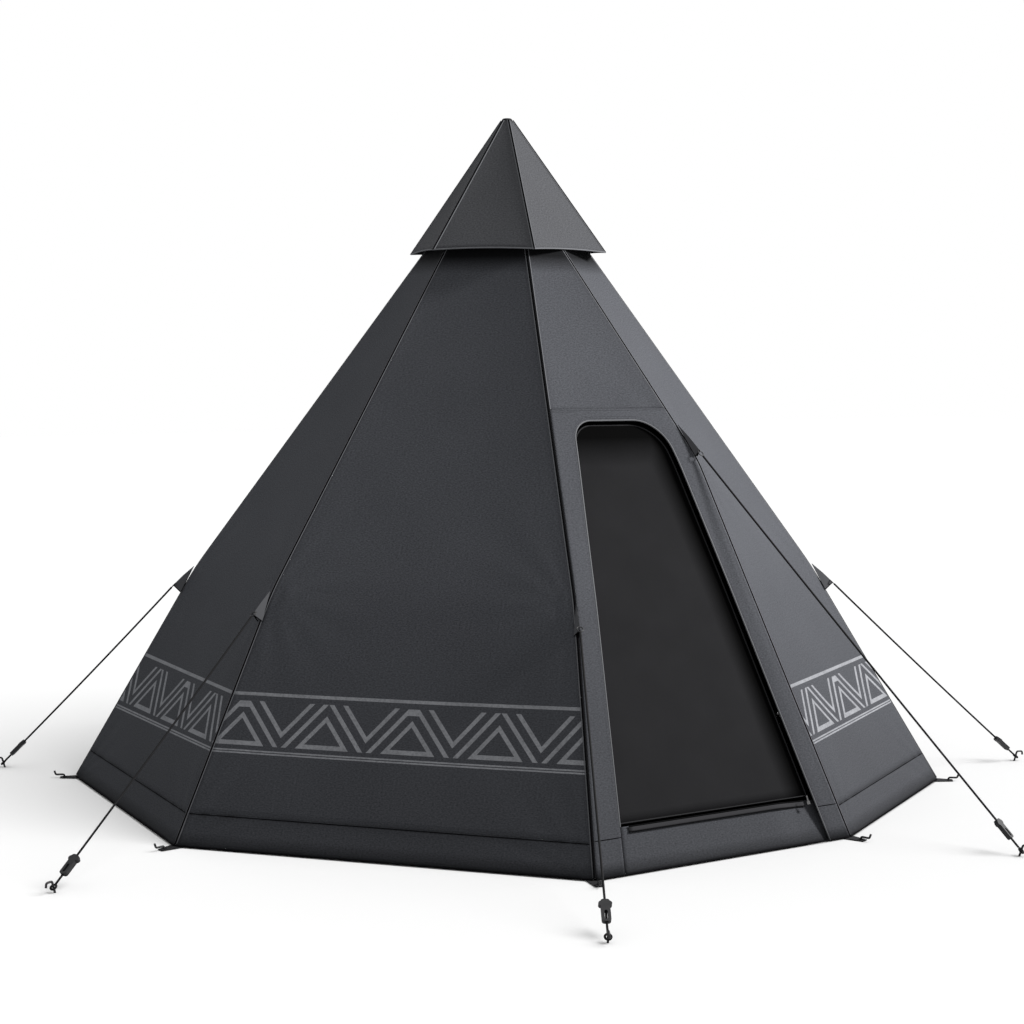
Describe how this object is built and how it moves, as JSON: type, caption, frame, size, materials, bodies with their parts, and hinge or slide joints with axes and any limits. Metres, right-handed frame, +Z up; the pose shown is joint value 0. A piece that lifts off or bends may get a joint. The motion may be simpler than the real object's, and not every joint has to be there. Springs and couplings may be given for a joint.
{
  "type": "teepee tent",
  "caption": "Multi-sided teepee tent: fabric panels around a centre pole, separate vent hood, arched door, guy ropes with sliding runners, and driven pegs.",
  "frame": {"origin": "on the ground under the centre pole, on the underside of the groundsheet", "axes": "+Z up along the pole; -Y towards the door; +X to the right of the door seen from outside"},
  "size_m": [4.5902, 4.5391, 2.966],
  "materials": {
    "wall_fabric": "woven, matte, with a printed band",
    "hood_fabric": "woven, matte",
    "piping": "corded edge, matte",
    "webbing": "ribbed webbing, matte",
    "mesh_fabric": "fine mesh, matte",
    "pole_steel": "powder coated",
    "rubber": "moulded, matte",
    "groundsheet": "coated, smooth",
    "zip_tape": "woven tape with a nylon coil",
    "zip_metal": "satin",
    "peg_steel": "black, satin",
    "rope": "braided, matte",
    "runner_plastic": "moulded, satin"
  },
  "bodies": {
    "shell": {"wall_panel_1": "wall_fabric", "wall_panel_2": "wall_fabric", "wall_panel_3": "wall_fabric", "wall_panel_4": "wall_fabric", "wall_panel_5": "wall_fabric", "wall_panel_6": "wall_fabric", "wall_panel_7": "wall_fabric", "skirt_panel_1": "wall_fabric", "skirt_panel_2": "wall_fabric", "skirt_panel_3": "wall_fabric", "skirt_panel_4": "wall_fabric", "skirt_panel_5": "wall_fabric", "skirt_panel_6": "wall_fabric", "skirt_panel_7": "wall_fabric", "door_top_panel": "wall_fabric", "door_surround": "wall_fabric", "door_sill": "wall_fabric", "door_binding": "piping", "door_zip": "zip_tape", "ridge_piping": "piping", "vent_mesh": "mesh_fabric", "crown_boot": "webbing", "vent_hood": "hood_fabric", "hood_piping": "piping", "hood_straps": "webbing", "pole_section_1": "pole_steel", "pole_section_2": "pole_steel", "pole_section_3": "pole_steel", "pole_section_4": "pole_steel", "pole_foot": "rubber", "pole_finial": "rubber", "groundsheet": "groundsheet", "guy_tabs": "webbing", "guy_rings": "peg_steel", "guy_rope_1": "rope", "guy_rope_2": "rope", "guy_rope_3": "rope", "guy_rope_4": "rope", "guy_rope_5": "rope", "guy_rope_6": "rope", "guy_rope_7": "rope", "guy_rope_8": "rope", "peg_loops": "rope", "guy_pegs": "peg_steel", "corner_pegs": "peg_steel", "corner_straps": "webbing"},
    "inner_door": {"inner_door": "mesh_fabric"},
    "zip_slider": {"zip_slider": "zip_metal"},
    "guy_runner_1": {"guy_runner_1": "runner_plastic"},
    "guy_runner_2": {"guy_runner_2": "runner_plastic"},
    "guy_runner_3": {"guy_runner_3": "runner_plastic"},
    "guy_runner_4": {"guy_runner_4": "runner_plastic"},
    "guy_runner_5": {"guy_runner_5": "runner_plastic"},
    "guy_runner_6": {"guy_runner_6": "runner_plastic"},
    "guy_runner_7": {"guy_runner_7": "runner_plastic"},
    "guy_runner_8": {"guy_runner_8": "runner_plastic"}
  },
  "joints": [
    {"name": "door_swing", "type": "hinge", "parent": "shell", "child": "inner_door", "pos_m": [-0.282, -1.18722, 0.89], "axis": [-0.1716, -0.4887, -0.8554], "range_deg": [0, 85]},
    {"name": "zip_slide", "type": "slide", "parent": "shell", "child": "zip_slider", "axis": [-0.9998, -0.0219, 0], "range_m": [0, 0.79]},
    {"name": "runner_1_slide", "type": "slide", "parent": "shell", "child": "guy_runner_1", "axis": [0.5695, -0.4225, 0.7051], "range_m": [0, 0.22]},
    {"name": "runner_2_slide", "type": "slide", "parent": "shell", "child": "guy_runner_2", "axis": [0.7042, 0.3962, 0.5892], "range_m": [0, 0.22]},
    {"name": "runner_3_slide", "type": "slide", "parent": "shell", "child": "guy_runner_3", "axis": [0.359, 0.7246, 0.5883], "range_m": [0, 0.22]},
    {"name": "runner_4_slide", "type": "slide", "parent": "shell", "child": "guy_runner_4", "axis": [-0.3272, 0.6066, 0.7245], "range_m": [0, 0.22]},
    {"name": "runner_5_slide", "type": "slide", "parent": "shell", "child": "guy_runner_5", "axis": [-0.7463, 0.1406, 0.6506], "range_m": [0, 0.22]},
    {"name": "runner_6_slide", "type": "slide", "parent": "shell", "child": "guy_runner_6", "axis": [-0.7603, -0.1437, 0.6334], "range_m": [0, 0.22]},
    {"name": "runner_7_slide", "type": "slide", "parent": "shell", "child": "guy_runner_7", "axis": [-0.3871, -0.6704, 0.633], "range_m": [0, 0.22]},
    {"name": "runner_8_slide", "type": "slide", "parent": "shell", "child": "guy_runner_8", "axis": [0.2474, -0.7331, 0.6336], "range_m": [0, 0.22]}
  ]
}
